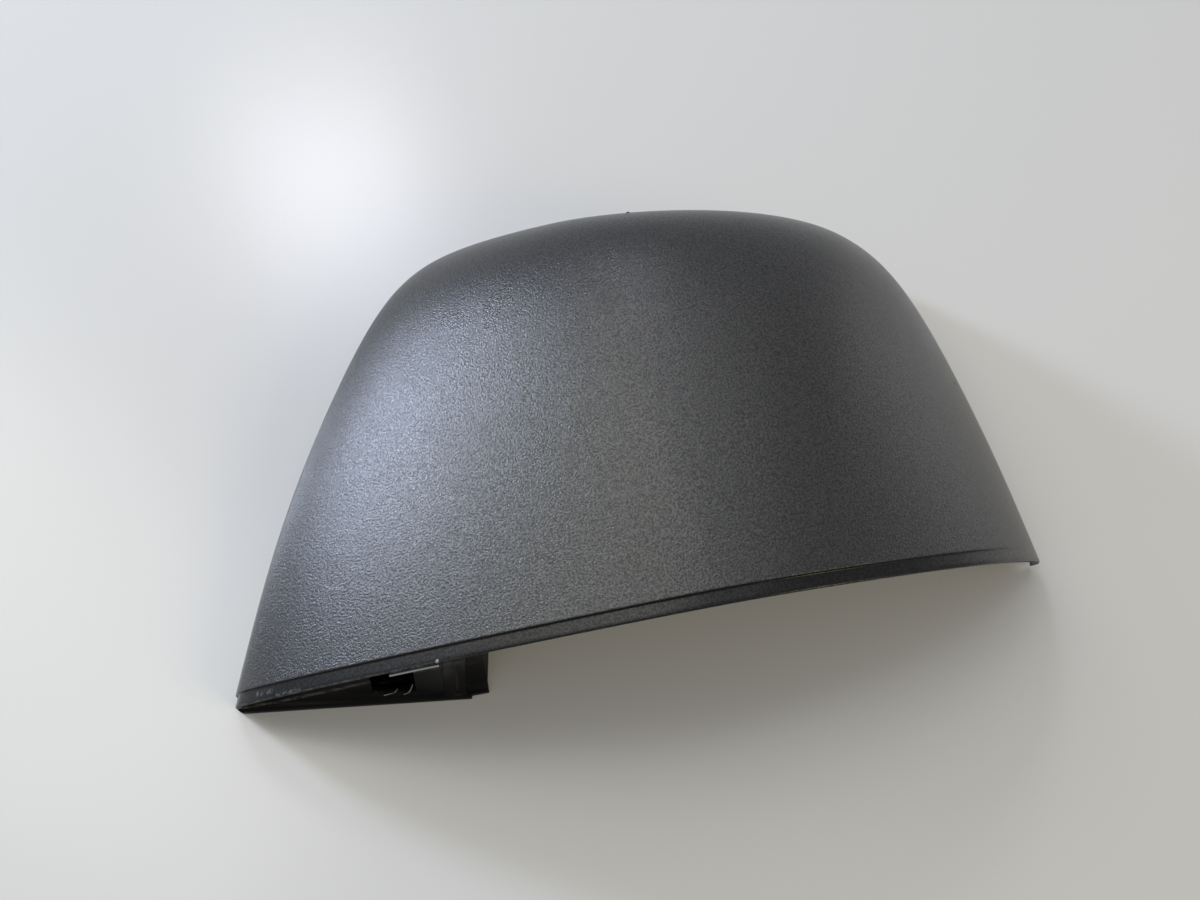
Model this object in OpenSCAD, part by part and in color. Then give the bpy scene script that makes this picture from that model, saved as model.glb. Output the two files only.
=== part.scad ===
// Outer shell of a door mirror, moulded in one piece from grained plastic.
// It lies on its open back, which is the plane z = 0.
// +X runs along the lower edge, from the foot end to the outer tip.
// +Y runs to the top of the mirror, and +Z to the crown of the shell.

/* [Shell] */
// Width from tip to tip along the lower edge
shell_w = 250; // [225:1:280]
// Height of the crown over the back plane, at the lower edge
crown_h = 75; // [68:0.5:88]
// Reach from the lower edge to the top wall
top_reach = 138.5; // [120:0.5:160]
// Thickness of the moulded wall
wall = 2.5; // [2.2:0.1:3.2]

/* [Form] */
// How far the crown sits towards the outer tip
crown_shift = 20; // [8:1:26]
// Slope of the crown line towards the outer tip
crown_slope = 0.09; // [0:0.01:0.12]
// Fall of the crown from the lower edge to the top wall
crown_fall = 0.15; // [0.1:0.01:0.3]
// Angle of the foot side in from upright, seen from the front
foot_taper = 23; // [14:0.5:26]
// Draft of the foot side
foot_draft = 16; // [8:0.5:20]
// Share by which the middle of the foot side bulges out
foot_bulge = 0.04; // [0:0.005:0.06]
// Angle of the outer side in from upright, seen from the front
tip_taper = 8.5; // [3:0.5:14]
// Draft of the outer side
tip_draft = 6; // [4:0.5:16]
// Share by which the middle of the outer side bulges out
tip_bulge = 0.02; // [0:0.005:0.04]
// Draft of the top wall
top_draft = 9; // [4:0.5:18]
// Slope of the top wall towards the outer side
top_slope = 0.145; // [0.05:0.005:0.2]
// How far the lower edge leans out for each mm of height
edge_lean = 0.25; // [0.15:0.01:0.32]
// Sharpness of the turn into the foot side, where 2 is an ellipse
foot_turn = 1.4; // [1.3:0.05:2.5]
// Sharpness of the turn into the outer side
tip_turn = 2.05; // [1.5:0.05:3]
// Sharpness of the turn into the top wall
top_turn = 8.5; // [5:0.5:10]

/* [Lower edge] */
// Rounding of the foot tip, seen from the front
foot_tip_r = 3.6; // [1:0.1:4.5]
// Rounding of the outer tip, seen from the front
outer_tip_r = 2.5; // [1:0.1:3.5]
// Width of the smooth band along the lower edge
band_w = 3.9; // [3:0.1:6]
// Depth of the step from the grained face to the band
band_step = 0.8; // [0.4:0.1:1]
// Where the step starts to fade towards the outer tip, from the middle
fade_x = 80; // [60:1:90]
// Length over which it fades
fade_w = 28; // [15:1:30]
// Where the tongue under the edge starts, from the middle of the width
tongue_x = -72.5; // [-80:0.5:-68]
// Length of the tongue along the edge
tongue_w = 13.5; // [8:0.5:18]
// How far the tongue stands past the edge
tongue_out = 1; // [1:0.1:4]

/* [Foot box] */
// Thickness of the back plate, its flange and the walls of the foot box
plate_t = 2.2; // [1.8:0.1:3]
// Distance from the foot tip to the far wall of the foot box
foot_w = 75.5; // [68:0.5:84]
// How far the box stands out below the line of the two tips
foot_out = 9.6; // [7:0.1:12]
// Depth over which the far wall keeps its full height
far_wall_d = 16; // [12:1:24]
// Depth over which it then slopes down to the collar
far_slope_d = 26; // [15:1:40]
// Width of the recess at the far corner of the box
corner_w = 7; // [5:0.5:9]
// Depth of that recess
corner_d = 3; // [2:0.1:4]
// Step in the edge of the plate below the recess
ledge_step = 0.9; // [0.5:0.1:1.5]
// How far the plate reaches past the box's corner
plate_lip = 1.8; // [0.5:0.1:3]
// How far the plate stands out at the foot tip
plate_drop = 1.3; // [0.5:0.1:2]
// Lean of the box's upright edges towards the crown, in mm for each mm of height
box_lean = 0.1; // [0:0.01:0.12]
// Share of the crown's height at which the far wall starts to slope
slope_share = 0.6; // [0.5:0.05:0.7]
// Distance of the box's front wall behind the edge of the plate
front_back = 1.6; // [1:0.1:2.5]
// Radius of the bead up the front of the box
bead_r = 2.2; // [1.5:0.1:3]
// How far the bead stands out of the front wall
bead_out = 1.2; // [0.6:0.1:1.4]
// Distance of the bead from the far wall
bead_off = 11.5; // [10:0.5:13]
// Width of the clip hole in the front of the box
clip_w = 12.5; // [8:0.5:15]
// Height of the clip hole
clip_h = 30; // [20:1:34]
// Where the clip hole starts above the back plane
clip_z = 4; // [3:0.5:8]
// Distance of the clip hole's middle from the far wall
clip_off = 27.5; // [26:0.5:32]
// Rounding of the clip hole's corners
clip_r = 2; // [1:0.25:3]

/* [Back frame] */
// Width of the flange round the glass opening
flange_w = 6; // [4:0.5:9]
// Height of the collar along the foot side of the opening
collar_h = 11; // [7:0.5:16]
// Rounding of the corners of the glass opening
opening_r = 9; // [5:0.5:14]
// Distance of the flange's end from the lower edge, at the outer tip
flange_end = 3; // [2:0.5:6]

/* [Ribs and clips] */
// Thickness of the ribs inside the shell
rib_t = 1.6; // [1.2:0.1:2.2]
// Height of the ribs from the inner face
rib_h = 6; // [4:0.5:9]
// Number of ribs that run from the lower edge to the top
rib_count = 3; // [2:1:4]
// Distance of the ribs' ends from the lower edge
rib_start = 14; // [10:1:24]
// Distance of the long cross rib from the line of the tips
cross_y = 58; // [45:1:75]
// Width of each spring clip
hook_w = 8; // [6:0.5:11]
// Height of each spring clip over the flange
hook_h = 12; // [9:0.5:16]
// How far the nose of each clip stands into the opening
hook_nose = 2.4; // [1.5:0.1:3.5]
// Thickness of each clip's spring arm
hook_t = 1.8; // [1.4:0.1:2.4]
// Share of the clip's height at which its nose is
nose_share = 0.7; // [0.6:0.05:0.75]

/* [Hidden] */
grained_black = [0.13, 0.13, 0.13];
$fn = 32;
// Columns and rows of facets on the outer and on the inner face
outer_cols = 60;
outer_rows = 26;
inner_cols = 46;
inner_rows = 20;
// Depth to which neighbouring forms run into each other
bite = 0.4;
// Angle by which a cutting form passes the planes it opens
pass = 2;
// Largest value of the bulge's curve, which is cos(t)^3 * sin(t)
bulge_peak = 0.325;
// Step that is left where the band's step has faded
least_step = 0.1;
half_w = shell_w / 2;
foot_reach = half_w + crown_shift;
tip_reach = half_w - crown_shift;
// Places along X: the far wall, the edge of the recess and the box's start
far_x = foot_w - half_w;
corner_x = far_x - corner_w;
start_x = wall - half_w;
// Face of the recess at the box's far corner
recess_y = front_back + corner_d - foot_out;
// Places of the spring clips, as angles round the back from the foot tip
hook_angles = [72, 92, 112, 150];

function blend(t) = t * t * (3 - 2 * t);
function nearness(n, d, dist) = max(0, n * d) / dist;
function side_normal(s, taper, draft) =
    [s * cos(taper) * cos(draft), sin(taper) * cos(draft), sin(draft)];
function side_dist(reach, taper, draft) = reach * cos(taper) * cos(draft);

// Distance from the centre of the form to its face, along direction d. Four
// soft planes bound the form: the crown, the foot side, the outer side and
// the top wall, each brought nearer by the inset.
function radius_at(d, inset) =
    let (
        turn = foot_turn + (tip_turn - foot_turn) * blend((d[0] + 1) / 2),
        crown = nearness([crown_slope, -crown_fall, 1], d, crown_h - inset),
        bulge = pow(abs(d[0]), 3) * max(0, d[1]) / bulge_peak,
        foot = (1 - foot_bulge * bulge) * nearness(side_normal(-1, foot_taper, foot_draft), d,
            side_dist(foot_reach, foot_taper, foot_draft) - inset),
        tip = (1 - tip_bulge * bulge) * nearness(side_normal(1, tip_taper, tip_draft), d,
            side_dist(tip_reach, tip_taper, tip_draft) - inset),
        top = nearness([top_slope, cos(top_draft), sin(top_draft)], d, top_reach - inset),
        arch = pow(crown, turn) + pow(foot, turn) + pow(tip, turn)
    )
    pow(pow(arch, top_turn / turn) + pow(top, top_turn), -1 / top_turn);

// A point of the form: angle a runs from the foot tip over the crown to the
// outer tip, and angle b from the lower edge round to the back plane
function form_point(a, b, inset) =
    let (
        d = [-cos(a), sin(a) * sin(b), sin(a) * cos(b)],
        p = d * radius_at(d, inset)
    )
    [p[0] + crown_shift, p[1] - edge_lean * p[2], p[2]];

function rim_point(a, inset) =
    let (p = form_point(a, 90, inset))
    [p[0], p[1]];

// Front to back middle of the part, which the origin stands under
rim_y = [for (i = [0:outer_cols]) form_point(180 * i / outer_cols, 90, 0)[1]];
lip_y = [for (i = [0:outer_cols]) form_point(180 * i / outer_cols, 0, 0)[1]];
mid_y = (max(rim_y) + min(lip_y)) / 2;

// Direction in plan of the side that starts at angle a0
function side_turn(a0, a1) =
    let (p = rim_point(a0, 0), q = rim_point(a1, 0))
    atan2(q[1] - p[1], q[0] - p[0]);
foot_side = side_turn(0, pass);
outer_side = side_turn(180, 180 - pass);

// Corners of the plate under the foot box: at the foot tip and by the recess
plate_start = [band_step - half_w - plate_drop / tan(foot_side), -plate_drop];
plate_end = [corner_x + plate_lip, -foot_out];

// Face of the foot box's front wall, in plan
function front_y(x) = front_back - foot_out * (x - start_x) / (corner_x - start_x);

// The closed form of the mirror, smaller all round by the inset, between the
// planes at angle b0 and angle b1
module form(inset, b0 = 0, b1 = 90, cols = inner_cols, rows = inner_rows) {
    n = cols - 1;
    grid = [for (j = [0:rows]) for (i = [1:n])
        form_point(180 * i / cols, b0 + (b1 - b0) * j / rows, inset)];
    foot_pole = len(grid);
    tip_pole = foot_pole + 1;
    poles = [form_point(0, 90, inset), form_point(180, 90, inset)];
    cells = [for (j = [0:rows - 1]) for (i = [0:n - 2]) j * n + i];
    faces = concat(
        [for (c = cells) [c, c + n + 1, c + 1]],
        [for (c = cells) [c, c + n, c + n + 1]],
        [for (j = [0:rows - 1]) [foot_pole, (j + 1) * n, j * n]],
        [for (j = [0:rows - 1]) [tip_pole, (j + 1) * n - 1, (j + 2) * n - 1]],
        [concat([foot_pole], [for (i = [0:n - 1]) i], [tip_pole])],
        [concat([tip_pole], [for (i = [n - 1:-1:0]) rows * n + i], [foot_pole])]
    );
    polyhedron(concat(grid, poles), faces, convexity = 6);
}

// The space inside the shell, carried on in front of the leaning edge
module inner_space(inset) {
    form(inset, -90, 90, inner_cols, 2 * inner_rows);
}

// A slab along the leaning plane of the lower edge, from y0 to y1 past it
module edge_slab(y0, y1, x0 = -shell_w, x1 = shell_w) {
    multmatrix([[1, 0, 0, 0], [0, 1, -edge_lean, 0], [0, 0, 1, 0], [0, 0, 0, 1]])
        translate([x0, y0, -crown_h])
            cube([x1 - x0, y1 - y0, 3 * crown_h]);
}

// Angle b at which the band ends in column a, or the back plane where the
// band takes the whole column
function band_angle(a) = asin(min(1, band_w / (radius_at([-cos(a), 0, sin(a)], 0) * sin(a))));

// Depth of the band's step in column a, which fades towards the outer tip
function step_at(a) =
    let (t = (form_point(a, 0, 0)[0] - fade_x) / fade_w)
    max(least_step, band_step * (1 - blend(min(1, max(0, t)))));

// Angle a at which the band's line meets the back plane, near one tip
function band_end(s) =
    let (reach = s < 0 ? foot_reach : tip_reach)
    s < 0 ? atan(band_w / reach) : 180 - atan(band_w / reach);

// The thin shell as one closed face: the band, the step, the grained face,
// the back rim, the inner face and the lower rim
module skin() {
    n = outer_cols - 1;
    m = inner_cols - 1;
    cols = [for (i = [1:n]) 180 * i / outer_cols];
    ends = [band_end(-1), band_end(1)];
    band = [
        [for (a = cols) form_point(a, 0, step_at(a))],
        [for (a = cols) form_point(a, band_angle(a), step_at(a))]
    ];
    face = [for (j = [0:outer_rows]) [for (a = cols)
        let (b0 = band_angle(a))
        form_point(a, b0 + (90 - b0) * j / outer_rows, 0)]];
    inner = [for (j = [0:inner_rows]) [for (i = [1:m])
        form_point(180 * i / inner_cols, 90 * j / inner_rows, wall)]];
    rows = concat(band, face);
    last = len(rows) - 1;
    grid = [for (row = rows) each row];
    inner_grid = [for (row = inner) each row];
    extra = [
        form_point(0, 90, band_step), form_point(180, 90, least_step),
        form_point(ends[0], 90, band_step), form_point(ends[1], 90, least_step),
        form_point(ends[0], 90, 0), form_point(ends[1], 90, 0),
        form_point(0, 90, wall), form_point(180, 90, wall)
    ];
    base = len(grid);
    top = base + len(inner_grid);
    foot_tip = top;
    outer_tip = top + 1;
    foot_low = top + 2;
    outer_low = top + 3;
    foot_high = top + 4;
    outer_high = top + 5;
    foot_in = top + 6;
    outer_in = top + 7;
    faces = concat(
        [for (j = [0:last - 1]) for (i = [0:n - 2])
            let (c = j * n + i)
            each [[c, c + n + 1, c + 1], [c, c + n, c + n + 1]]],
        [[foot_tip, n, 0], [foot_tip, foot_low, n]],
        [[foot_low, 2 * n, n], [foot_low, foot_high, 2 * n]],
        [for (j = [2:last - 1]) [foot_high, (j + 1) * n, j * n]],
        [[outer_tip, n - 1, 2 * n - 1], [outer_tip, 2 * n - 1, outer_low]],
        [[outer_low, 2 * n - 1, 3 * n - 1], [outer_low, 3 * n - 1, outer_high]],
        [for (j = [2:last - 1]) [outer_high, (j + 1) * n - 1, (j + 2) * n - 1]],
        [for (j = [0:inner_rows - 1]) for (i = [0:m - 2])
            let (c = base + j * m + i)
            each [[c, c + 1, c + m + 1], [c, c + m + 1, c + m]]],
        [for (j = [0:inner_rows - 1]) [foot_in, base + j * m, base + (j + 1) * m]],
        [for (j = [0:inner_rows - 1]) [outer_in, base + (j + 2) * m - 1, base + (j + 1) * m - 1]],
        [concat([foot_in, foot_tip], [for (i = [0:n - 1]) i], [outer_tip, outer_in],
            [for (i = [m - 1:-1:0]) base + i])],
        [concat([outer_in, outer_tip, outer_low, outer_high],
            [for (i = [n - 1:-1:0]) last * n + i], [foot_high, foot_low, foot_tip, foot_in],
            [for (i = [0:m - 1]) base + inner_rows * m + i])]
    );
    polyhedron(concat(grid, inner_grid, extra), faces, convexity = 6);
}

// The tongue that stands out under the lower edge
module tongue() {
    intersection() {
        difference() {
            form(band_step + bite, -4 * pass, 90);
            form(wall + bite, -5 * pass, 90 + pass);
        }
        edge_slab(-tongue_out, band_w, tongue_x, tongue_x + tongue_w);
    }
}

// Cuts what lies past an arc of radius r in the corner at v, whose sides run
// along the directions t1 and t2 in plan
module corner_cut(v, t1, t2, r) {
    u1 = [cos(t1), sin(t1)];
    u2 = [cos(t2), sin(t2)];
    half = abs(t2 - t1) / 2;
    middle = (u1 + u2) / norm(u1 + u2);
    centre = v + middle * r / sin(half);
    reach = r / tan(half);
    translate([0, 0, -crown_h])
        linear_extrude(2 * crown_h)
            difference() {
                polygon([v - middle * r, v + u1 * reach - middle * r, v + u1 * reach,
                    centre, v + u2 * reach, v + u2 * reach - middle * r]);
                translate(centre)
                    circle(r);
            }
}

// Plan of the foot box's front wall, with the recess at its far corner
module front_plan() {
    inner_x = corner_x - plate_t;
    polygon([
        [start_x, front_y(start_x)],
        [corner_x, front_y(corner_x)],
        [corner_x, recess_y],
        [far_x, recess_y],
        [far_x, recess_y + plate_t],
        [inner_x, recess_y + plate_t],
        [inner_x, front_y(inner_x) + plate_t],
        [start_x, front_y(start_x) + plate_t]
    ]);
}

module clip_hole() {
    translate([far_x - clip_off, 0, clip_z + clip_h / 2])
        rotate([90, 0, 0])
            linear_extrude(4 * foot_out, center = true)
                offset(r = clip_r)
                    square([clip_w - 2 * clip_r, clip_h - 2 * clip_r], center = true);
}

// Walls of the foot box: the front with its bead and clip hole, and the far
// wall, which slopes down to the collar beside the glass opening
module foot_box() {
    bead_x = far_x - bead_off;
    slope_y = recess_y + far_wall_d;
    intersection() {
        multmatrix([[1, 0, box_lean, 0], [0, 1, 0, 0], [0, 0, 1, 0], [0, 0, 0, 1]]) {
            difference() {
                linear_extrude(2 * crown_h)
                    front_plan();
                clip_hole();
            }
            translate([bead_x, front_y(bead_x) - bead_out + bead_r, 0])
                cylinder(r = bead_r, h = 2 * crown_h);
            translate([far_x - plate_t, 0, 0])
                rotate([90, 0, 90])
                    linear_extrude(plate_t)
                        polygon([
                            [recess_y, 0],
                            [recess_y, 2 * crown_h],
                            [slope_y, 2 * crown_h],
                            [slope_y, slope_share * crown_h],
                            [slope_y + far_slope_d, collar_h],
                            [2 * top_reach, collar_h],
                            [2 * top_reach, 0]
                        ]);
        }
        inner_space(wall - bite);
    }
}

// Plan of the glass opening, which runs out through the lower edge
module opening_plan() {
    inset = wall + flange_w;
    tip_x = rim_point(180, inset)[0];
    offset(r = opening_r)
        offset(delta = -opening_r)
            intersection() {
                union() {
                    polygon([for (i = [0:inner_cols]) rim_point(180 * i / inner_cols, inset)]);
                    translate([far_x, -top_reach])
                        square([tip_x - far_x, top_reach + bite]);
                    translate([0, -top_reach])
                        square([shell_w, top_reach + flange_end]);
                }
                translate([far_x, -top_reach])
                    square([shell_w, 3 * top_reach]);
            }
}

// The back plate: wide behind the foot box, a narrow flange elsewhere
module back_plate() {
    linear_extrude(plate_t) {
        polygon([
            plate_start,
            plate_end,
            plate_end + [0, ledge_step],
            [far_x, ledge_step - foot_out],
            [far_x, bite],
            [band_step + bite - half_w, bite]
        ]);
        difference() {
            polygon([for (i = [0:outer_cols]) rim_point(180 * i / outer_cols, wall - bite)]);
            opening_plan();
        }
    }
}

// Low ribs across the inside of the shell
module ribs() {
    pitch = (tip_reach + crown_shift - far_x) / (rib_count + 1);
    intersection() {
        difference() {
            form(wall - bite);
            form(wall + rib_h, -pass, 90 + pass);
        }
        edge_slab(rib_start, 2 * top_reach);
        union() {
            for (i = [1:rib_count])
                translate([far_x + i * pitch - rib_t / 2, -top_reach, bite])
                    cube([rib_t, 3 * top_reach, 2 * crown_h]);
            translate([-half_w, cross_y, bite])
                cube([shell_w, rib_t, 2 * crown_h]);
        }
    }
}

// A spring clip on the flange: an arm with a root and a sloped nose
module hook() {
    nose_z = nose_share * hook_h;
    translate([-hook_w / 2, 0, bite]) {
        hull() {
            cube([hook_w, hook_t, plate_t]);
            translate([0, 0, hook_h])
                cube([hook_w, hook_t, bite]);
        }
        hull() {
            cube([hook_w, 2 * hook_t, plate_t]);
            cube([hook_w, hook_t, 2 * plate_t]);
        }
        hull() {
            translate([0, -hook_nose, nose_z])
                cube([hook_w, hook_t, bite]);
            translate([0, 0, hook_h])
                cube([hook_w, hook_t, bite]);
            translate([0, 0, nose_z - hook_nose / 2])
                cube([hook_w, hook_t, bite]);
        }
    }
}

module hooks() {
    for (a = hook_angles) {
        p = rim_point(a, wall + flange_w);
        q = rim_point(a + 1, wall + flange_w);
        translate([p[0], p[1], 0])
            rotate([0, 0, atan2(q[1] - p[1], q[0] - p[0])])
                hook();
    }
}

// What the rounding takes off at the two tips
module tip_cuts() {
    edge = plate_end - plate_start;
    corner_cut(plate_start, foot_side, atan2(edge[1], edge[0]), foot_tip_r);
    corner_cut(rim_point(180, 0), outer_side, 180, outer_tip_r);
}

module shell() {
    color(grained_black)
        translate([0, -mid_y, 0])
            difference() {
                union() {
                    skin();
                    tongue();
                    foot_box();
                    back_plate();
                    ribs();
                    hooks();
                }
                tip_cuts();
            }
}

shell();
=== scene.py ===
"""Looks of a wing mirror housing: the moulded shell, its materials, floor, light and camera."""

import math

import bmesh
import bpy
import numpy as np
from mathutils import Matrix, Vector


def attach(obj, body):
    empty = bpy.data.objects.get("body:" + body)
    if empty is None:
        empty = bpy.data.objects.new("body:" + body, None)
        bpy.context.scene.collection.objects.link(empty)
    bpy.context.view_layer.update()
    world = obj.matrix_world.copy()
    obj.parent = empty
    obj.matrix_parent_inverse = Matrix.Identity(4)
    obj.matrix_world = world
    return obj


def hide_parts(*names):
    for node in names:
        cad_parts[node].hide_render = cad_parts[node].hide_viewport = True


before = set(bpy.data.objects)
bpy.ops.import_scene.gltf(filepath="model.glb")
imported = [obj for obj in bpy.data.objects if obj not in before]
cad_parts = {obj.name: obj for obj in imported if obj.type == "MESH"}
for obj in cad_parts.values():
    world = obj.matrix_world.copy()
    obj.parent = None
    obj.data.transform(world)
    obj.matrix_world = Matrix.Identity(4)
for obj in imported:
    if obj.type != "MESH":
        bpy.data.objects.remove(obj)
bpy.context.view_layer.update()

# Sizes in millimetres, as the solid has them. METRES turns them into the frame's unit.
METRES = 0.001
SHELL_W = 250.0
CROWN_H = 75.0
TOP_REACH = 138.5
WALL = 2.5
CROWN_SHIFT = 20.0
CROWN_SLOPE = 0.09
CROWN_FALL = 0.15
FOOT_TAPER, FOOT_DRAFT, FOOT_BULGE = math.radians(23), math.radians(16), 0.04
TIP_TAPER, TIP_DRAFT, TIP_BULGE = math.radians(8.5), math.radians(6), 0.02
TOP_DRAFT = math.radians(9)
TOP_SLOPE = 0.145
EDGE_LEAN = 0.25
FOOT_TURN, TIP_TURN, TOP_TURN = 1.4, 2.05, 8.5
BULGE_PEAK = 0.325
FOOT_TIP_R, OUTER_TIP_R = 3.6, 2.5
BAND_W = 3.9
BAND_STEP = 0.8
FADE_X, FADE_W = 80.0, 28.0
TONGUE_X, TONGUE_W, TONGUE_OUT = -72.5, 13.5, 1.0
PLATE_T = 2.2
FOOT_W = 75.5
FOOT_OUT = 9.6
FAR_WALL_D, FAR_SLOPE_D = 16.0, 26.0
CORNER_W, CORNER_D = 7.0, 3.0
LEDGE_STEP = 0.9
PLATE_LIP, PLATE_DROP = 1.8, 1.3
BOX_LEAN = 0.1
SLOPE_SHARE = 0.6
FRONT_BACK = 1.6
BEAD_R, BEAD_OUT, BEAD_OFF = 2.2, 1.2, 11.5
CLIP_W, CLIP_H, CLIP_Z, CLIP_OFF, CLIP_R = 12.5, 30.0, 4.0, 27.5, 2.0
FLANGE_W = 6.0
COLLAR_H = 11.0
OPENING_R = 9.0
FLANGE_END = 3.0
RIB_T, RIB_H, RIB_COUNT, RIB_START, CROSS_Y = 1.6, 6.0, 3, 14.0, 58.0
HOOK_W, HOOK_H, HOOK_NOSE, HOOK_T = 8.0, 12.0, 2.4, 1.8
NOSE_SHARE = 0.7
HOOK_ANGLES = (72, 92, 112, 150)
# How far pieces reach into each other, and how far buried feet stay over the back plane
BITE = 0.4
LIFT = 0.05

HALF_W = SHELL_W / 2
FOOT_REACH = HALF_W + CROWN_SHIFT
TIP_REACH = HALF_W - CROWN_SHIFT
FAR_X = FOOT_W - HALF_W
CORNER_X = FAR_X - CORNER_W
START_X = WALL - HALF_W
PLATE_END = (CORNER_X + PLATE_LIP, -FOOT_OUT)
RECESS_Y = FRONT_BACK + CORNER_D - FOOT_OUT
# Height of pieces that are cut off at the shell
TALL = 1.3 * CROWN_H

# Finish of the mesh
COLUMNS = 300
FACE_ROWS = 120
INNER_ROWS = 60
SPACE_ROWS = 90
EDGE_R = 0.45
INNER_EDGE_R = 0.3
STEP_R = 0.35
BEVEL = 0.3
# Distances within which points are merged: in lofted bodies, the finished shell and small pieces
LOFT_MERGE, SHELL_MERGE, FINE_MERGE = 0.004, 0.002, 0.001
# Angles in degrees from which an edge is rounded, or drawn sharp
BEVEL_ANGLE, SHARP_ANGLE = 30, 38
# Where the outer face is plain: this near the form, and this far from the band's step and the back
PLAIN_GAP, PLAIN_EDGE, PLAIN_BACK = 0.03, 1.2, 1.3
# Pebbles of the moulded grain for each metre
GRAIN = 1800.0

# Point that all lamps face, in metres
LIT_POINT = Vector((0, 0, 0.03))

# Wear, and a painted glint at the tongue's corner, as lines from one point to another in the frame,
# each with its half width
LIGHT_SCRATCHES = (
    ((-6.3, 41.3, 61.9), (-6.0, 33.9, 64.7), 0.35),
    ((-89.0, -44.2, 34.0), (-83.6, -46.4, 37.2), 0.8),
    ((-78.0, -48.6, 40.2), (-74.2, -50.0, 42.1), 0.7),
    ((105.9, -11.9, 30.9), (106.5, -11.4, 30.4), 0.8),
)
DARK_MARKS = (
    ((-75.4, -39.4, 40.8), (-74.2, -40.0, 41.4), 0.9),
)
BAND_SCUFFS = (
    ((-112.0, -66.6, 20.6), (-107.5, -67.6, 24.2), 0.9),
    ((-105.5, -69.4, 25.4), (-98.3, -70.6, 30.1), 0.6),
)
# Painted glint: a pale spot where the tongue's corner catches the light
TONGUE_GLINT = ((-59.3, -75.7, 49.0), (-59.2, -75.5, 49.2), 0.55)
NUB_AT, NUB_R = (15.2, 49.1, 58.3), 0.8
NICK_AT, NICK_R = (106.9, -11.9, 31.5), 1.3
# Torn slivers on the rim of the clip hole: points on the wall, and the width of each sliver
SLIVERS = (
    (((-79.7, -68.5, 3.8), (-77.9, -68.7, 4.9), (-76.4, -69.0, 6.2), (-74.9, -69.1, 9.8)), 0.75),
    (((-73.9, -69.3, 4.0), (-72.3, -69.6, 5.8), (-71.2, -69.7, 9.3), (-70.1, -69.6, 13.1)), 0.7),
)


def side_normal(sign, taper, draft):
    flat = math.cos(draft)
    return np.array([sign * math.cos(taper) * flat, math.sin(taper) * flat, math.sin(draft)])


def side_dist(reach, taper, draft):
    return reach * math.cos(taper) * math.cos(draft)


def nearness(normal, d, dist):
    return np.maximum(0, d @ normal) / dist


def direction(a, b):
    """Unit vectors: a turns from the foot tip to the outer tip, b from the lower edge to the back."""
    return np.stack([-np.cos(a), np.sin(a) * np.sin(b), np.sin(a) * np.cos(b)], axis=-1)


def radius_at(d, inset):
    """Distance from the form's centre to its face, which four soft planes bound."""
    t = (d[..., 0] + 1) / 2
    turn = FOOT_TURN + (TIP_TURN - FOOT_TURN) * t * t * (3 - 2 * t)
    crown = nearness(np.array([CROWN_SLOPE, -CROWN_FALL, 1.0]), d, CROWN_H - inset)
    bulge = np.abs(d[..., 0]) ** 3 * np.maximum(0, d[..., 1]) / BULGE_PEAK
    foot = (1 - FOOT_BULGE * bulge) * nearness(
        side_normal(-1, FOOT_TAPER, FOOT_DRAFT), d,
        side_dist(FOOT_REACH, FOOT_TAPER, FOOT_DRAFT) - inset)
    tip = (1 - TIP_BULGE * bulge) * nearness(
        side_normal(1, TIP_TAPER, TIP_DRAFT), d,
        side_dist(TIP_REACH, TIP_TAPER, TIP_DRAFT) - inset)
    top = nearness(np.array([TOP_SLOPE, math.cos(TOP_DRAFT), math.sin(TOP_DRAFT)]), d,
                   TOP_REACH - inset)
    arch = crown ** turn + foot ** turn + tip ** turn
    return (arch ** (TOP_TURN / turn) + top ** TOP_TURN) ** (-1 / TOP_TURN)


def form_point(a, b, inset, shift=True):
    """Points of the form in millimetres, leaned and put over the part's origin."""
    d = direction(np.asarray(a, float), np.asarray(b, float))
    p = d * radius_at(d, inset)[..., None]
    p[..., 0] += CROWN_SHIFT
    p[..., 1] -= EDGE_LEAN * p[..., 2]
    if shift:
        p[..., 1] -= MID_Y
    return p


def middle_y():
    """Front to back middle of the part, worked out as the solid does it."""
    a = np.linspace(0, math.pi, 61)
    rim = form_point(a, np.full(61, math.pi / 2), 0, shift=False)[:, 1].max()
    lip = form_point(a, np.zeros(61), 0, shift=False)[:, 1].min()
    return (rim + lip) / 2


MID_Y = middle_y()


def rounded(depth, radius):
    """How far a face falls back at this depth from a rounded edge."""
    t = np.clip(radius - depth, 0, radius)
    return radius - np.sqrt(radius * radius - t * t)


def step_depth(x):
    """Depth of the band's step, which fades towards the outer tip."""
    t = np.clip((x - FADE_X) / FADE_W, 0, 1)
    return BAND_STEP * (1 - t * t * (3 - 2 * t))


def outer_inset(x, s, z):
    """Inset of the outer face at distance s from the lower edge and height z over the back."""
    step = np.clip((s - BAND_W) / STEP_R, 0, 1)
    return step_depth(x) * (1 - np.sin(step * math.pi / 2)) + np.maximum(
        rounded(s, EDGE_R), rounded(z, EDGE_R))


def edge_angle(a, s):
    """Angle b at which column a is s away from the lower edge, or the back plane if it never is."""
    b = np.zeros_like(a)
    for _ in range(4):
        reach = radius_at(direction(a, b), 0) * np.sin(a)
        b = np.arcsin(np.clip(s / np.maximum(reach, 1e-6), 0, 1))
    return b


def rim_angle(a, z):
    """Angle b at which column a is z above the back plane."""
    b = np.full_like(a, math.pi / 2)
    for _ in range(4):
        reach = radius_at(direction(a, b), 0) * np.sin(a)
        b = np.arccos(np.clip(z / np.maximum(reach, 1e-6), 0, 1))
    return b


def edge_rows(a, near_edge, near_rim, middle):
    """Angles b of every row: close rows at both edges and even ones between them."""
    low = [edge_angle(a, s) for s in near_edge]
    high = [rim_angle(a, z) for z in near_rim]
    start = low[-1]
    end = np.maximum(start, high[0])
    between = [start + (end - start) * k / middle for k in range(1, middle)]
    return np.array(low + between + [np.maximum(start, h) for h in high])


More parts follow.
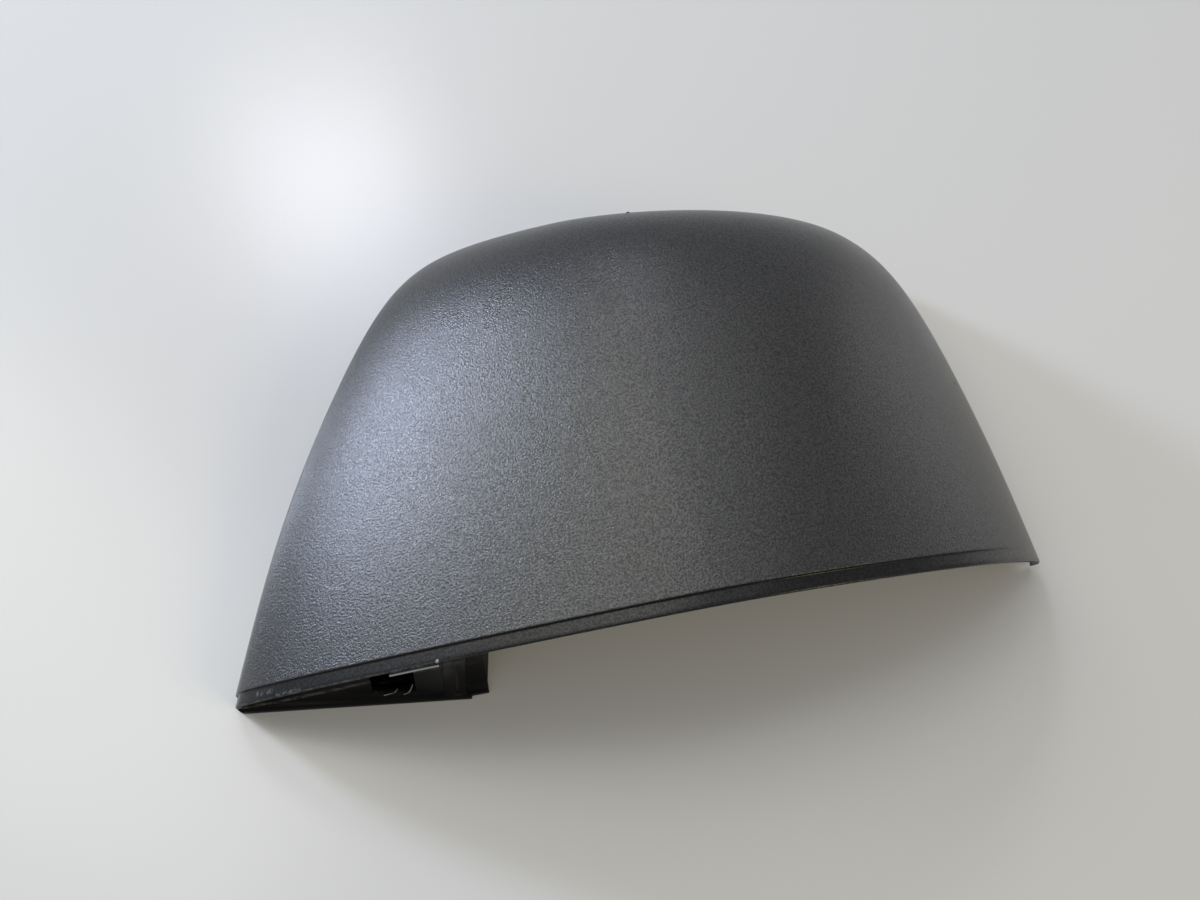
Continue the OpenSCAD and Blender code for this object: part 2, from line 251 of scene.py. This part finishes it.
def outer_grid():
    a = np.linspace(0, math.pi, COLUMNS + 1)
    on_band = (0, 0.03, 0.1, 0.22, EDGE_R, 1.3, 2.5, 3.6, BAND_W)
    past_band = (0.03, 0.08, 0.16, 0.26, STEP_R, 0.7, 1.5)
    near_edge = on_band + tuple(BAND_W + s for s in past_band)
    near_rim = (1.2, EDGE_R, 0.22, 0.1, 0.03, 0)
    b = edge_rows(a, near_edge, near_rim, FACE_ROWS)
    cols = np.broadcast_to(a, b.shape)
    d = direction(cols, b)
    plain = d * radius_at(d, 0)[..., None]
    return form_point(cols, b, outer_inset(plain[..., 0] + CROWN_SHIFT, plain[..., 1], plain[..., 2]))


def inner_grid():
    a = np.linspace(0, math.pi, COLUMNS + 1)
    b = edge_rows(a, (0, 0.3, 1.0), (0.6, 0), INNER_ROWS)
    cols = np.broadcast_to(a, b.shape)
    d = direction(cols, b)
    plain = d * radius_at(d, WALL)[..., None]
    near = np.minimum(plain[..., 1], plain[..., 2])
    return form_point(cols, b, WALL - rounded(near, INNER_EDGE_R))


def mesh_object(name, verts, faces):
    mesh = bpy.data.meshes.new(name)
    mesh.from_pydata([tuple(v) for v in verts], [], faces)
    obj = bpy.data.objects.new(name, mesh)
    bpy.context.scene.collection.objects.link(obj)
    return obj


def tidy(obj, distance=FINE_MERGE):
    """Merges double points, drops faces without area and turns all faces outwards."""
    bm = bmesh.new()
    bm.from_mesh(obj.data)
    bmesh.ops.remove_doubles(bm, verts=bm.verts, dist=distance * METRES)
    bmesh.ops.dissolve_degenerate(bm, edges=bm.edges, dist=distance * METRES)
    bmesh.ops.triangulate(bm, faces=[f for f in bm.faces if len(f.verts) > 3])
    bmesh.ops.recalc_face_normals(bm, faces=bm.faces)
    bm.to_mesh(obj.data)
    bm.free()
    return obj


def loft(name, grid):
    """A closed body from rows of points. The last row joins the first, and each row's ends meet."""
    rows, cols = grid.shape[:2]
    faces = []
    for r in range(rows):
        nxt = (r + 1) % rows
        faces += [(r * cols + c, r * cols + c + 1, nxt * cols + c + 1, nxt * cols + c)
                  for c in range(cols - 1)]
    return tidy(mesh_object(name, grid.reshape(-1, 3) * METRES, faces), LOFT_MERGE)


def skin():
    return loft("mirror_shell", np.concatenate([outer_grid(), inner_grid()[::-1]]))


def form(name, inset, b0, b1):
    """The closed form between two planes through the line of the tips."""
    a = np.linspace(0, math.pi, COLUMNS // 2 + 1)
    b = np.radians(np.linspace(b0, b1, SPACE_ROWS))
    cols, rows = np.meshgrid(a, b)
    grid = form_point(cols, rows, inset)
    axis = grid[0].copy()
    axis[:, 0] = np.linspace(axis[0, 0], axis[-1, 0], len(a))
    axis[:, 1] = axis[0, 1]
    axis[:, 2] = axis[0, 2]
    return loft(name, np.concatenate([grid, axis[None]]))


def soften(obj, width=BEVEL):
    """Rounds all edges of a plain piece."""
    bm = bmesh.new()
    bm.from_mesh(obj.data)
    sharp = [e for e in bm.edges if e.calc_face_angle(0) > math.radians(BEVEL_ANGLE)]
    bmesh.ops.bevel(bm, geom=sharp, offset=width * METRES, segments=2, profile=0.5, affect="EDGES")
    bm.to_mesh(obj.data)
    bm.free()
    return tidy(obj)


def bridge(name, points, width):
    """A closed body between two equal rings of points in millimetres, given one after the other."""
    n = len(points) // 2
    verts = [(x * METRES, (y - MID_Y) * METRES, z * METRES) for x, y, z in points]
    faces = [tuple(range(n - 1, -1, -1)), tuple(range(n, 2 * n))]
    faces += [(i, (i + 1) % n, n + (i + 1) % n, n + i) for i in range(n)]
    obj = mesh_object(name, verts, faces)
    return soften(obj, width) if width else tidy(obj)


def prism(name, outline, z0, z1, width=BEVEL):
    """An upright prism over a plan outline of (x, y) points."""
    return bridge(name, [(x, y, z) for z in (z0, z1) for x, y in outline], width)


def side_prism(name, outline, x0, x1, width=BEVEL):
    """A prism along X over an outline of (y, z) points."""
    return bridge(name, [(x, y, z) for x in (x0, x1) for y, z in outline], width)


def boolean(first, operation, *others):
    """Joins or cuts closed bodies. The others are used up."""
    for other in others:
        mod = first.modifiers.new(operation, "BOOLEAN")
        mod.operation = operation
        mod.solver = "MANIFOLD"
        mod.object = other
        done = bpy.data.meshes.new_from_object(
            first.evaluated_get(bpy.context.evaluated_depsgraph_get()))
        first.modifiers.clear()
        first.data = done
        bpy.data.objects.remove(other)
    return first


def edge_slab(name, y0, y1, x0=-SHELL_W, x1=SHELL_W):
    """A slab along the leaning plane of the lower edge, from y0 to y1 past it."""
    low, high = -CROWN_H, 2 * CROWN_H
    corners = [(y0 - EDGE_LEAN * low, low), (y1 - EDGE_LEAN * low, low),
               (y1 - EDGE_LEAN * high, high), (y0 - EDGE_LEAN * high, high)]
    return side_prism(name, corners, x0, x1, 0)


def front_y(x):
    """Face of the foot box's front wall, in plan."""
    return FRONT_BACK - FOOT_OUT * (x - START_X) / (CORNER_X - START_X)


def arc(cx, cy, r, start, end, steps):
    return [(cx + r * math.cos(math.radians(start + (end - start) * i / steps)),
             cy + r * math.sin(math.radians(start + (end - start) * i / steps)))
            for i in range(steps + 1)]


def tongue():
    """The short tongue under the band."""
    outer = form("tongue", BAND_STEP + BITE, -8, 90)
    inner = form("tongue_inner", WALL + BITE, -10, 92)
    body = boolean(outer, "DIFFERENCE", inner)
    return boolean(body, "INTERSECT",
                   edge_slab("tongue_slab", -TONGUE_OUT, BAND_W, TONGUE_X, TONGUE_X + TONGUE_W))


def clip_hole():
    """What the rounded clip hole takes out of the front wall."""
    cx, cz = FAR_X - CLIP_OFF, CLIP_Z + CLIP_H / 2
    w, h = CLIP_W / 2 - CLIP_R, CLIP_H / 2 - CLIP_R
    outline = (arc(cx + w, cz + h, CLIP_R, 0, 90, 6) + arc(cx - w, cz + h, CLIP_R, 90, 180, 6)
               + arc(cx - w, cz - h, CLIP_R, 180, 270, 6) + arc(cx + w, cz - h, CLIP_R, 270, 360, 6))
    points = [(x, y, z) for y in (-2 * FOOT_OUT, 2 * FOOT_OUT) for x, z in outline]
    return bridge("clip_hole", points, 0)


def front_wall():
    """Front wall of the foot box, with its recess at the far corner and the clip hole."""
    inner_x = CORNER_X - PLATE_T
    plan = [
        (START_X, front_y(START_X)), (CORNER_X, front_y(CORNER_X)), (CORNER_X, RECESS_Y),
        (FAR_X, RECESS_Y), (FAR_X, RECESS_Y + PLATE_T), (inner_x, RECESS_Y + PLATE_T),
        (inner_x, front_y(inner_x) + PLATE_T), (START_X, front_y(START_X) + PLATE_T),
    ]
    return boolean(prism("front_wall", plan, LIFT, TALL), "DIFFERENCE", clip_hole())


def bead():
    """Upright round bead on the front wall."""
    x = FAR_X - BEAD_OFF
    y = front_y(x) - BEAD_OUT + BEAD_R
    return prism("bead", arc(x, y, BEAD_R, 0, 345, 23), LIFT, TALL, 0)


def far_wall():
    """Far wall of the foot box, which slopes down to the collar along the glass opening."""
    start_y = RECESS_Y + LIFT
    slope_y = RECESS_Y + FAR_WALL_D
    profile = [(start_y, LIFT), (2 * TOP_REACH, LIFT), (2 * TOP_REACH, COLLAR_H),
               (slope_y + FAR_SLOPE_D, COLLAR_H), (slope_y, SLOPE_SHARE * CROWN_H),
               (slope_y, TALL), (start_y, TALL)]
    return side_prism("far_wall", profile, FAR_X - PLATE_T, FAR_X - 0.03)


def foot_box():
    """Front wall, bead and far wall, leaned a little and cut off at the shell."""
    body = boolean(front_wall(), "UNION", bead(), far_wall())
    lean = Matrix.Identity(4)
    lean[0][2] = BOX_LEAN
    body.data.transform(lean)
    return boolean(body, "INTERSECT", form("inner_space", WALL - BITE, -90, 90))


def rim_line(inset, a0, a1, steps):
    """Points of the back rim in plan, in the solid's own plan coordinates."""
    a = np.radians(np.linspace(a0, a1, steps))
    p = form_point(a, np.full(steps, math.pi / 2), inset, shift=False)
    return [(x, y) for x, y in p[:, :2]]


def opening_prism():
    """The glass opening: the rim line moved in, square at the foot box, open at the lower edge."""
    inset = WALL + FLANGE_W
    rim = [p for p in rim_line(inset, 0, 180, 181)
           if p[0] > FAR_X + OPENING_R and (p[0] < 0 or p[1] > FLANGE_END)]
    top_y = rim[0][1]
    corner = arc(FAR_X + OPENING_R, top_y - OPENING_R, OPENING_R, 180, 90, 10)
    runout = [(rim[-1][0], FLANGE_END), (SHELL_W, FLANGE_END), (SHELL_W, -20.0)]
    outline = [(FAR_X, -20.0)] + corner + rim + runout
    return prism("opening", outline[::-1], -1.0, PLATE_T + 1.0, 0)


def side_turn(a0, a1):
    """Direction in plan of the side that starts at angle a0, in degrees."""
    (px, py), (qx, qy) = rim_line(0, a0, a1, 2)
    return math.degrees(math.atan2(qy - py, qx - px))


def corner_cut(name, corner, t1, t2, r):
    """What lies past an arc of radius r in a corner whose sides run along t1 and t2."""
    u1, u2 = (Vector((math.cos(math.radians(t)), math.sin(math.radians(t)))) for t in (t1, t2))
    half = math.radians(abs(t2 - t1)) / 2
    middle = (u1 + u2).normalized()
    corner = Vector(corner)
    centre = corner + middle * (r / math.sin(half))
    reach = r / math.tan(half)
    past = middle * r
    ends = [corner + u1 * reach, corner + u2 * reach]
    start, end = (math.degrees(math.atan2(*(e - centre).yx)) % 360 for e in ends)
    rounding = arc(centre.x, centre.y, r + 0.01, start, end, 16)
    outline = rounding + [tuple(ends[1] - past), tuple(corner - past), tuple(ends[0] - past)]
    return prism(name, outline, -1.0, CROWN_H, 0)


def tip_cuts():
    """What rounds the two tips, seen in plan."""
    start, outer_tip = plate_start(), rim_line(0, 180, 180, 1)[0]
    slope = math.degrees(math.atan2(PLATE_END[1] - start[1], PLATE_END[0] - start[0]))
    foot = corner_cut("foot_corner", start, side_turn(0, 2), slope, FOOT_TIP_R)
    outer = corner_cut("outer_corner", outer_tip, side_turn(180, 178), 180, OUTER_TIP_R)
    return foot, outer


def plate_start():
    """Corner of the plate at the foot tip, in line with the wall's side."""
    back = PLATE_DROP / math.tan(math.radians(side_turn(0, 2)))
    return BAND_STEP - HALF_W - back, -PLATE_DROP


def back_plate():
    """The wide plate under the foot box, and the flange round the glass opening."""
    plan = [plate_start(), PLATE_END, (PLATE_END[0], LEDGE_STEP - FOOT_OUT),
            (FAR_X, LEDGE_STEP - FOOT_OUT), (FAR_X, BITE), (BAND_STEP + BITE - HALF_W, BITE)]
    foot = prism("back_plate", plan, 0, PLATE_T)
    rim = prism("rim_plate", rim_line(WALL - BITE, 0, 180, 200)[::-1], 0, PLATE_T, 0)
    return boolean(foot, "UNION", boolean(rim, "DIFFERENCE", opening_prism()))


def ribs():
    """Three upright ribs inside the crown, and the rib that crosses them."""
    body = boolean(form("ribs", WALL - BITE, 0, 90), "DIFFERENCE",
                   form("ribs_inner", WALL + RIB_H, -2, 92))
    boolean(body, "INTERSECT", edge_slab("rib_slab", RIB_START, 2 * TOP_REACH))
    pitch = (TIP_REACH + CROWN_SHIFT - FAR_X) / (RIB_COUNT + 1)
    high, far = 2 * CROWN_H, 2 * TOP_REACH
    cross = prism("cross_rib", [(-HALF_W, CROSS_Y), (HALF_W, CROSS_Y), (HALF_W, CROSS_Y + RIB_T),
                                (-HALF_W, CROSS_Y + RIB_T)], 0.1, high, 0)
    for i in range(1, RIB_COUNT + 1):
        x = FAR_X + i * pitch
        sheet = [(x - RIB_T / 2, -TOP_REACH), (x + RIB_T / 2, -TOP_REACH),
                 (x + RIB_T / 2, far), (x - RIB_T / 2, far)]
        boolean(cross, "UNION", prism("rib_sheet", sheet, 0.1, high, 0))
    return boolean(body, "INTERSECT", cross)


def hook(angle):
    """A spring clip on the flange: an arm with a thick root and a sloped nose."""
    (px, py), (qx, qy) = rim_line(WALL + FLANGE_W, angle, angle + 1, 2)
    turn = math.atan2(qy - py, qx - px)
    nose_z = NOSE_SHARE * HOOK_H + BITE
    top_z = HOOK_H + 2 * BITE
    profile = [(2 * HOOK_T, LIFT), (2 * HOOK_T, PLATE_T + BITE), (HOOK_T, 2 * PLATE_T + BITE),
               (HOOK_T, top_z), (0, top_z), (-HOOK_NOSE, nose_z + BITE),
               (-HOOK_NOSE, nose_z), (0, nose_z - HOOK_NOSE / 2), (0, LIFT)]
    obj = side_prism("hook", [(y + MID_Y, z) for y, z in profile], -HOOK_W / 2, HOOK_W / 2, 0.2)
    place = Matrix.Translation((px * METRES, (py - MID_Y) * METRES, 0)) @ Matrix.Rotation(turn, 4, "Z")
    obj.data.transform(place)
    return obj


def ball(name, centre, radius):
    """A small ball that joins or cuts the shell."""
    obj = mesh_object(name, [], [])
    bm = bmesh.new()
    bmesh.ops.create_icosphere(bm, subdivisions=3, radius=radius * METRES)
    bm.to_mesh(obj.data)
    bm.free()
    obj.data.transform(Matrix.Translation(Vector(centre) * METRES))
    return obj


def sliver(name, points, width):
    """A torn strip of plastic that tapers to its end, bent along the points."""
    path = [Vector(p) * METRES for p in points]
    rings = []
    for i, here in enumerate(path):
        way = (path[min(i + 1, len(path) - 1)] - path[max(i - 1, 0)]).normalized()
        across = way.cross(Vector((0, 1, 0))).normalized()
        thick = way.cross(across)
        half = width / 2 * METRES * (1 - 0.8 * i / (len(path) - 1))
        rings += [here + across * half, here + thick * half / 2, here - across * half,
                  here - thick * half / 2]
    faces = [(3, 2, 1, 0), tuple(len(rings) - k for k in (4, 3, 2, 1))]
    for i in range(len(path) - 1):
        faces += [(4 * i + k, 4 * i + (k + 1) % 4, 4 * i + 4 + (k + 1) % 4, 4 * i + 4 + k)
                  for k in range(4)]
    return tidy(mesh_object(name, rings, faces))


def form_space(points):
    """Points of the frame, in millimetres, as seen from the form's centre."""
    q = points.copy()
    q[:, 0] -= CROWN_SHIFT
    q[:, 1] += MID_Y + EDGE_LEAN * q[:, 2]
    return q


def face_gap(points):
    """Distance of points from the outer face, along the line from the form's centre."""
    q = form_space(points)
    size = np.linalg.norm(q, axis=1)
    return size - radius_at(q / size[:, None], 0)


def coordinates(items, field):
    flat = np.empty(len(items) * 3)
    items.foreach_get(field, flat)
    return flat.reshape(-1, 3)


def set_face_normals(mesh):
    """Gives the plain outer face the true normals of the form. All other points keep their own."""
    points = coordinates(mesh.vertices, "co") / METRES
    q = form_space(points)
    step = 0.05
    slopes = [face_gap(points + step * axis) - face_gap(points - step * axis) for axis in np.eye(3)]
    normals = np.stack(slopes, axis=1)
    normals /= np.maximum(np.linalg.norm(normals, axis=1), 1e-9)[:, None]
    plain = ((np.abs(face_gap(points)) < PLAIN_GAP) & (q[:, 1] > BAND_W + PLAIN_EDGE)
             & (q[:, 2] > PLAIN_BACK))
    normals[~plain] = 0
    mesh.normals_split_custom_set_from_vertices(normals.tolist())


def finish_mesh(obj):
    """Two materials, smooth shading and sharp edges where the form turns."""
    tidy(obj, SHELL_MERGE)
    mesh = obj.data
    mesh.materials.clear()
    mesh.materials.append(grained_plastic())
    mesh.materials.append(smooth_plastic())
    outside = face_gap(coordinates(mesh.polygons, "center") / METRES) > -BAND_STEP - 0.2
    mesh.polygons.foreach_set("material_index", np.where(outside, 0, 1).astype(np.int32))
    mesh.polygons.foreach_set("use_smooth", np.ones(len(mesh.polygons), bool))
    mesh.set_sharp_from_angle(angle=math.radians(SHARP_ANGLE))
    set_face_normals(mesh)
    mesh.update()


class Nodes:
    """Short ways to add and join nodes of one material."""

    def __init__(self, name):
        self.material = bpy.data.materials.new(name)
        self.material.use_nodes = True
        self.tree = self.material.node_tree
        self.shader = self.tree.nodes["Principled BSDF"]

    def add(self, kind, **settings):
        node = self.tree.nodes.new(kind)
        for key, value in settings.items():
            setattr(node, key, value)
        return node

    def link(self, source, target):
        self.tree.links.new(source, target)

    def place(self):
        """The point on the object, in metres."""
        return self.add("ShaderNodeTexCoord").outputs["Object"]

    def noise(self, scale, detail=2.0, rough=0.5):
        node = self.add("ShaderNodeTexNoise")
        node.inputs["Scale"].default_value = scale
        node.inputs["Detail"].default_value = detail
        node.inputs["Roughness"].default_value = rough
        self.link(self.place(), node.inputs["Vector"])
        return node.outputs["Fac"]

    def ramp(self, value, low, high, to_low, to_high):
        """The value taken from one range to another, and held at its ends."""
        node = self.add("ShaderNodeMapRange")
        self.link(value, node.inputs["Value"])
        numbers = {"From Min": low, "From Max": high, "To Min": to_low, "To Max": to_high}
        for key, number in numbers.items():
            node.inputs[key].default_value = number
        return node.outputs["Result"]

    def math(self, operation, first, second):
        node = self.add("ShaderNodeMath", operation=operation)
        for socket, value in zip(node.inputs, (first, second)):
            if isinstance(value, (int, float)):
                socket.default_value = value
            else:
                self.link(value, socket)
        return node.outputs[0]

    def mix(self, factor, first, second):
        """A colour between two colours."""
        node = self.add("ShaderNodeMix", data_type="RGBA")
        self.link(factor, node.inputs["Factor"])
        for socket, value in ((node.inputs[6], first), (node.inputs[7], second)):
            if isinstance(value, tuple):
                socket.default_value = value
            else:
                self.link(value, socket)
        return node.outputs[2]

    def along(self, way, offset=0.0):
        """Distance along a direction, from a plane that lies offset before the origin."""
        node = self.add("ShaderNodeVectorMath", operation="DOT_PRODUCT")
        self.link(self.place(), node.inputs[0])
        node.inputs[1].default_value = way
        return self.math("ADD", node.outputs["Value"], offset)

    def stroke(self, start, end, width):
        """1 on a line between two points in millimetres, and 0 from its half width on."""
        start, line = Vector(start) * METRES, (Vector(end) - Vector(start)) * METRES
        offset = self.add("ShaderNodeVectorMath", operation="SUBTRACT")
        self.link(self.place(), offset.inputs[0])
        offset.inputs[1].default_value = start
        dot = self.add("ShaderNodeVectorMath", operation="DOT_PRODUCT")
        self.link(offset.outputs[0], dot.inputs[0])
        dot.inputs[1].default_value = line / line.length_squared
        share = self.math("MINIMUM", self.math("MAXIMUM", dot.outputs["Value"], 0.0), 1.0)
        nearest = self.add("ShaderNodeVectorMath", operation="SCALE")
        nearest.inputs[0].default_value = line
        self.link(share, nearest.inputs["Scale"])
        gap = self.add("ShaderNodeVectorMath", operation="DISTANCE")
        self.link(offset.outputs[0], gap.inputs[0])
        self.link(nearest.outputs[0], gap.inputs[1])
        return self.ramp(gap.outputs["Value"], 0.3 * width * METRES, width * METRES, 1, 0)

    def strokes(self, lines, broken=True):
        """Several strokes at once, broken up by a fine noise."""
        total = 0.0
        for start, end, width in lines:
            total = self.math("MAXIMUM", self.stroke(start, end, width), total)
        if not broken:
            return total
        return self.math("MULTIPLY", total, self.ramp(self.noise(1100.0, 3.0, 0.6), 0.44, 0.58, 0, 1))

    def bump(self, height, distance, strength):
        node = self.add("ShaderNodeBump")
        node.inputs["Strength"].default_value = strength
        node.inputs["Distance"].default_value = distance
        self.link(height, node.inputs["Height"])
        return node.outputs["Normal"]


def past_edge(n):
    """Distance from the leaning plane of the lower edge, in metres."""
    return n.along((0, 1, EDGE_LEAN), MID_Y * METRES)


def grained_area(n):
    """1 on the grained face and 0 on the smooth band, which fades out towards the outer tip."""
    above = n.ramp(past_edge(n), BAND_W * METRES, (BAND_W + STEP_R) * METRES, 0, 1)
    fade = n.ramp(n.along((1, 0, 0)), FADE_X * METRES, (FADE_X + 0.7 * FADE_W) * METRES, 0, 1)
    return n.math("MAXIMUM", above, fade)


def grained_plastic():
    """Dull black plastic with a moulded grain, smooth on the band, and its wear."""
    hollow, pale_hollow = (0.0175, 0.0175, 0.018, 1), (0.0195, 0.0195, 0.019, 1)
    pebble = (0.030, 0.030, 0.029, 1)
    scratched, marked, band = (0.11, 0.11, 0.105, 1), (0.006, 0.006, 0.006, 1), (0.008, 0.008, 0.008, 1)
    n = Nodes("grained_plastic")
    grain = n.noise(GRAIN, 2.0, 0.62)
    tops = n.ramp(grain, 0.36, 0.66, 0, 1)
    patches = n.noise(22.0, 3.0, 0.55)
    area = grained_area(n)
    colour = n.mix(n.ramp(patches, 0.35, 0.65, 0, 1), hollow, pale_hollow)
    colour = n.mix(tops, colour, pebble)
    colour = n.mix(n.strokes(LIGHT_SCRATCHES), colour, scratched)
    colour = n.mix(n.strokes(DARK_MARKS), colour, marked)
    n.link(n.mix(area, wear_and_painted_highlights(n, band), colour), n.shader.inputs["Base Color"])
    gloss = n.math("MULTIPLY", n.ramp(tops, 0, 1, 0.32, 0.78), n.ramp(area, 0, 1, 0.5, 1))
    n.link(gloss, n.shader.inputs["Specular IOR Level"])
    n.link(n.ramp(patches, 0.3, 0.7, 0.27, 0.31), n.shader.inputs["Roughness"])
    n.link(n.bump(n.math("MULTIPLY", grain, area), 0.0002, 0.75), n.shader.inputs["Normal"])
    return n.material


def wear_and_painted_highlights(n, colour):
    """Adds the pale line on the lip, partly wear and partly a painted highlight, a painted highlight
    along the tongue's edge, the scuffs on the band and a painted glint at the tongue's corner.
    """
    # Pale line on the lip: partly wear, partly a painted highlight on the edge
    lip_wear_and_highlight, tongue_highlight = (0.075, 0.08, 0.077, 1), (0.32, 0.34, 0.33, 1)
    scuffed, tongue_glint = (0.10, 0.105, 0.10, 1), (0.32, 0.33, 0.33, 1)
    edge = past_edge(n)
    at_lip = n.math("MULTIPLY", n.ramp(edge, 0.0002, 0.0006, 1, 0), n.ramp(edge, -0.0003, 0, 0, 1))
    at_foot = n.ramp(n.along((1, 0, 0)), -0.062, -0.05, 1, 0)
    broken = n.ramp(n.noise(420.0, 3.0, 0.6), 0.42, 0.62, 0.15, 1)
    line = n.math("MULTIPLY", n.math("MULTIPLY", at_lip, at_foot), broken)
    colour = n.mix(line, colour, lip_wear_and_highlight)
    # Painted highlight: the tongue's lower edge is drawn pale where it catches the light
    above_box = n.ramp(n.along((0, 0, 1)), 0.036, 0.038, 0, 1)
    tongue_edge = n.math("MULTIPLY", n.ramp(edge, -0.0009, -0.0005, 1, 0), above_box)
    colour = n.mix(tongue_edge, colour, tongue_highlight)
    colour = n.mix(n.strokes(BAND_SCUFFS), colour, scuffed)
    # Painted glint at the tongue's corner
    return n.mix(n.strokes((TONGUE_GLINT,), broken=False), colour, tongue_glint)


def torn_plastic():
    """Pale, rough plastic where it was torn."""
    dull, pale = (0.12, 0.12, 0.115, 1), (0.28, 0.28, 0.27, 1)
    n = Nodes("torn_plastic")
    fine = n.noise(2500.0, 2.0, 0.5)
    n.link(n.mix(n.ramp(fine, 0.35, 0.65, 0, 1), dull, pale), n.shader.inputs["Base Color"])
    n.shader.inputs["Roughness"].default_value = 0.6
    return n.material


def smooth_plastic():
    """The same plastic without grain, inside the shell and on the foot box, its black darkened to paint
    in the shade that falls there.
    """
    # Partly the smooth plastic's own black, partly painted shade: both tones are darkened for the shade
    # in the foot box and inside the shell
    black, worn = (0.0045, 0.0045, 0.0047, 1), (0.007, 0.007, 0.0068, 1)
    n = Nodes("smooth_plastic")
    fine = n.noise(900.0, 2.0, 0.5)
    patches = n.noise(35.0, 3.0, 0.6)
    colour = n.mix(n.ramp(patches, 0.35, 0.65, 0, 1), black, worn)
    n.link(wear_and_painted_highlights(n, colour), n.shader.inputs["Base Color"])
    n.shader.inputs["Specular IOR Level"].default_value = 0.07
    n.link(n.ramp(patches, 0.3, 0.7, 0.38, 0.48), n.shader.inputs["Roughness"])
    n.link(n.bump(fine, 0.00002, 0.5), n.shader.inputs["Normal"])
    return n.material


def build_shell():
    """The moulded shell as one mesh, with its nub and its nick."""
    shell = skin()
    boolean(shell, "UNION", back_plate(), foot_box(), tongue(), ribs(), *map(hook, HOOK_ANGLES))
    boolean(shell, "UNION", ball("nub", NUB_AT, NUB_R))
    boolean(shell, "DIFFERENCE", *tip_cuts(), ball("nick", NICK_AT, NICK_R))
    finish_mesh(shell)
    hold(shell)


def build_slivers():
    """The torn white bits at the clip hole."""
    material = torn_plastic()
    for i, (points, width) in enumerate(SLIVERS, 1):
        piece = sliver(f"torn_sliver_{i}", points, width)
        piece.data.materials.append(material)
        hold(piece)


def hold(piece):
    """Puts a piece under the root body and hides the CAD shell that it stands for."""
    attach(piece, "root")
    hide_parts("shell")


def build_floor():
    """A plain pale table under the part."""
    reach = 3.0
    corners = [(-reach, -reach, 0), (reach, -reach, 0), (reach, reach, 0), (-reach, reach, 0)]
    floor = mesh_object("floor", corners, [(0, 1, 2, 3)])
    n = Nodes("pale_table")
    n.shader.inputs["Base Color"].default_value = (0.60, 0.60, 0.59, 1)
    n.shader.inputs["Roughness"].default_value = 0.25
    floor.data.materials.append(n.material)


def area_light(name, way, distance, width, height, power, colour):
    """A lamp in metres and watts, which lies along a direction from the part and faces it."""
    data = bpy.data.lights.new(name, "AREA")
    data.shape = "RECTANGLE"
    data.size, data.size_y = width, height
    data.energy = power
    data.color = colour
    lamp = bpy.data.objects.new(name, data)
    way = Vector(way).normalized()
    lamp.location = LIT_POINT + way * distance
    lamp.rotation_mode = "QUATERNION"
    lamp.rotation_quaternion = way.to_track_quat("Z", "Y")
    bpy.context.scene.collection.objects.link(lamp)


def build_light():
    """A slightly cool room, a bluish window behind the foot end and a warm lamp at the front right."""
    world = bpy.data.worlds.new("soft_room")
    world.use_nodes = True
    back = world.node_tree.nodes["Background"]
    back.inputs["Color"].default_value = (0.87, 0.90, 1.0, 1)
    back.inputs["Strength"].default_value = 0.44
    bpy.context.scene.world = world
    area_light("window", (-0.74, 0.60, 0.32), 1.3, 0.18, 0.18, 11.0, (0.70, 0.79, 1.0))
    area_light("side", (-0.60, 0.45, 0.66), 1.5, 0.5, 0.5, 2.4, (1.0, 0.98, 0.80))
    area_light("behind", (-0.15, 0.70, 0.70), 1.5, 0.25, 0.25, 2.6, (0.91, 0.91, 1.0))
    area_light("ceiling", (-0.40, 0.25, 0.88), 1.5, 0.6, 0.6, 3.7, (1.0, 1.0, 0.91))
    area_light("overhead", (0.15, 0.35, 0.92), 1.5, 0.8, 0.8, 2.3, (1.0, 1.0, 0.97))
    area_light("right", (0.93, 0.33, 0.12), 1.3, 0.5, 0.3, 0.5, (1.0, 1.0, 1.0))
    area_light("right_front", (0.6, -0.6, 0.53), 1.5, 0.6, 0.5, 6.0, (1.0, 0.84, 0.49))


def build_camera():
    """The photograph's view: from above, a little left of the middle."""
    azimuth, elevation, roll = math.radians(-10.4), math.radians(63), math.radians(-0.2)
    target = Vector((-5.23, 49.76 - MID_Y, 30.0)) * METRES
    distance = 344.0 * METRES
    focal_px, frame_px = 1150, 1200
    back = Vector((math.sin(azimuth) * math.cos(elevation), -math.cos(azimuth) * math.cos(elevation),
                   math.sin(elevation)))
    right = Vector((0, 0, 1)).cross(back).normalized()
    up = back.cross(right)
    across = right * math.cos(roll) + up * math.sin(roll)
    upright = up * math.cos(roll) - right * math.sin(roll)
    data = bpy.data.cameras.new("camera")
    data.sensor_width = 36.0
    data.lens = focal_px / frame_px * data.sensor_width
    camera = bpy.data.objects.new("camera", data)
    camera.matrix_world = Matrix((across, upright, back)).transposed().to_4x4()
    camera.location = target + back * distance
    bpy.context.scene.collection.objects.link(camera)
    bpy.context.scene.camera = camera


build_camera()
build_light()
build_floor()
build_shell()
build_slivers()
bpy.context.scene.view_settings.view_transform = "Standard"
